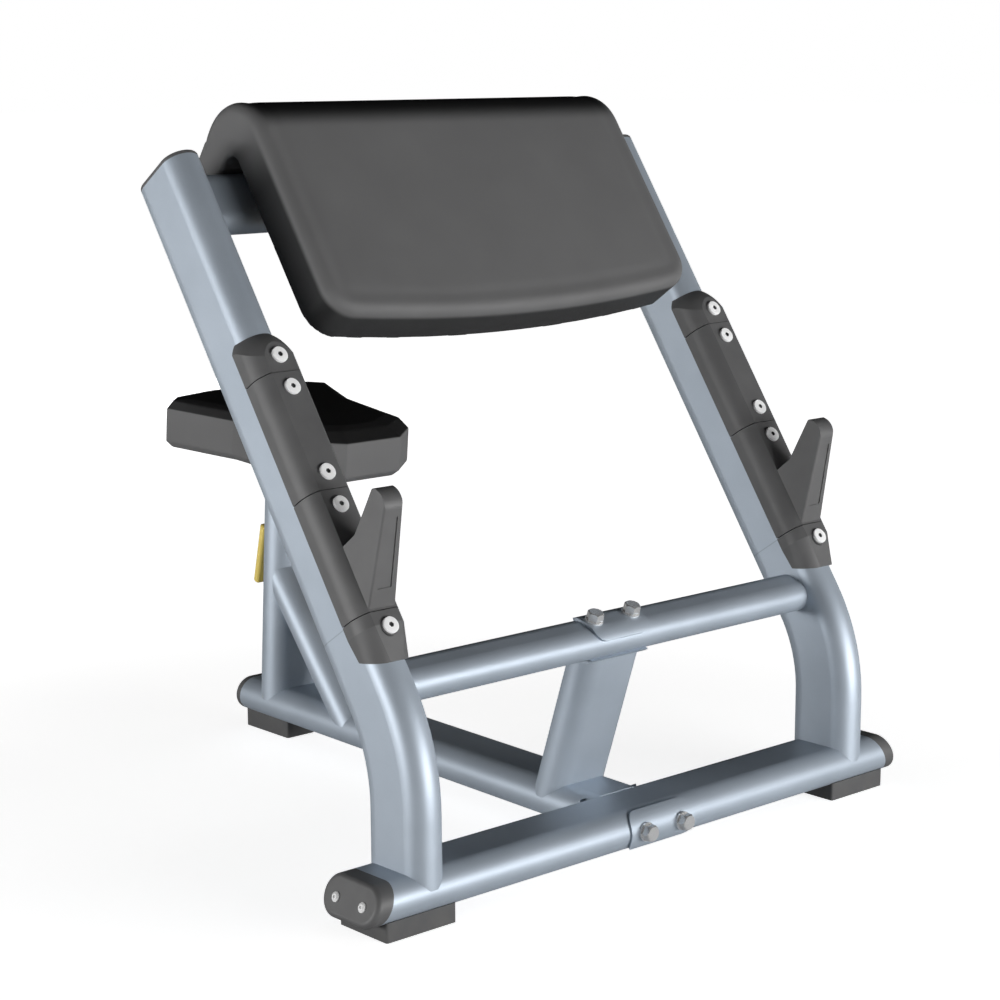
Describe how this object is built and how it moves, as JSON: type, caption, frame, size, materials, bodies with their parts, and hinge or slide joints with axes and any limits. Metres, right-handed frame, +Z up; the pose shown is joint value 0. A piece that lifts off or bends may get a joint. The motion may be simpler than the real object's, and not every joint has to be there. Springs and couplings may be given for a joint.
{
  "type": "preacher bench",
  "caption": "Preacher curl bench: flat-oval tube frame with a sloped padded arm rest, bar hooks on both uprights and a small seat that slides up on its post.",
  "frame": {"origin": "centre of the bench's bounding box on the floor", "axes": "+Z up; +Y from the front base tube back to the seat, against the way the seated user faces; +X to the seated user's left"},
  "size_m": [0.9272, 0.9056, 0.9265],
  "materials": {
    "frame_paint": "satin metallic silver paint",
    "dark_plastic": "moulded dark grey plastic",
    "foot_rubber": "dark grey rubber",
    "upholstery": "smooth matte black upholstery",
    "plywood": "plain plywood",
    "bright_screw": "bright plated",
    "plain_steel": "zinc plated",
    "glide_plastic": "smooth nylon",
    "lever_yellow": "moulded yellow plastic"
  },
  "bodies": {
    "frame": {"front_base_tube": "frame_paint", "left_upright": "frame_paint", "right_upright": "frame_paint", "mid_cross_tube": "frame_paint", "upper_cross_tube": "frame_paint", "base_rail": "frame_paint", "rail_front_plate": "frame_paint", "centre_strut": "frame_paint", "strut_top_plate": "frame_paint", "seat_post": "frame_paint", "seat_post_brace": "frame_paint", "front_saddle_plate": "frame_paint", "mid_saddle_plate": "frame_paint", "frame_bolts": "bright_screw", "frame_washers": "bright_screw", "frame_nuts": "plain_steel", "left_base_end_cap": "dark_plastic", "right_base_end_cap": "dark_plastic", "rear_end_cap": "dark_plastic", "end_cap_screws": "bright_screw", "front_left_foot": "foot_rubber", "front_right_foot": "foot_rubber", "rear_foot": "foot_rubber", "arm_pad": "upholstery", "arm_pad_board": "plywood", "left_pad_strap": "plain_steel", "right_pad_strap": "plain_steel", "arm_pad_bolts": "plain_steel", "upper_stem_glide": "glide_plastic", "lock_pin_housing": "plain_steel", "lock_spring": "plain_steel", "lever_bracket": "plain_steel", "lever_pivot_pin": "plain_steel", "left_upright_top_cap": "dark_plastic", "left_guard_top_cover": "dark_plastic", "left_guard_middle_cover": "dark_plastic", "left_bar_hook": "dark_plastic", "left_guard_bottom_cover": "dark_plastic", "left_guard_screws": "bright_screw", "right_upright_top_cap": "dark_plastic", "right_guard_top_cover": "dark_plastic", "right_guard_middle_cover": "dark_plastic", "right_bar_hook": "dark_plastic", "right_guard_bottom_cover": "dark_plastic", "right_guard_screws": "bright_screw"},
    "seat": {"seat_cushion": "upholstery", "seat_board": "plywood", "seat_plate": "plain_steel", "seat_bolts": "plain_steel", "seat_stem": "plain_steel", "lower_stem_glide": "glide_plastic"},
    "lever": {"release_lever": "lever_yellow"},
    "pin": {"lock_pin": "plain_steel"}
  },
  "joints": [
    {"name": "seat_height", "type": "slide", "parent": "frame", "child": "seat", "axis": [0, -0.0727, 0.9974], "range_m": [0, 0.125]},
    {"name": "release_lever_turn", "type": "hinge", "parent": "frame", "child": "lever", "pos_m": [0, 0.35229, 0.39301], "axis": [1, 0, 0], "range_deg": [0, 12], "stiffness_Nm_per_rad": 1.5, "springref_deg": -11.46},
    {"name": "lock_pin_slide", "type": "slide", "parent": "frame", "child": "pin", "axis": [0, 0.9974, 0.0727], "range_m": [0, 0.006], "deforming": ["lock_spring"]}
  ],
  "couplings": [
    {"joint": "lock_pin_slide", "follows": "release_lever_turn", "m_per_rad": 0.0262}
  ]
}
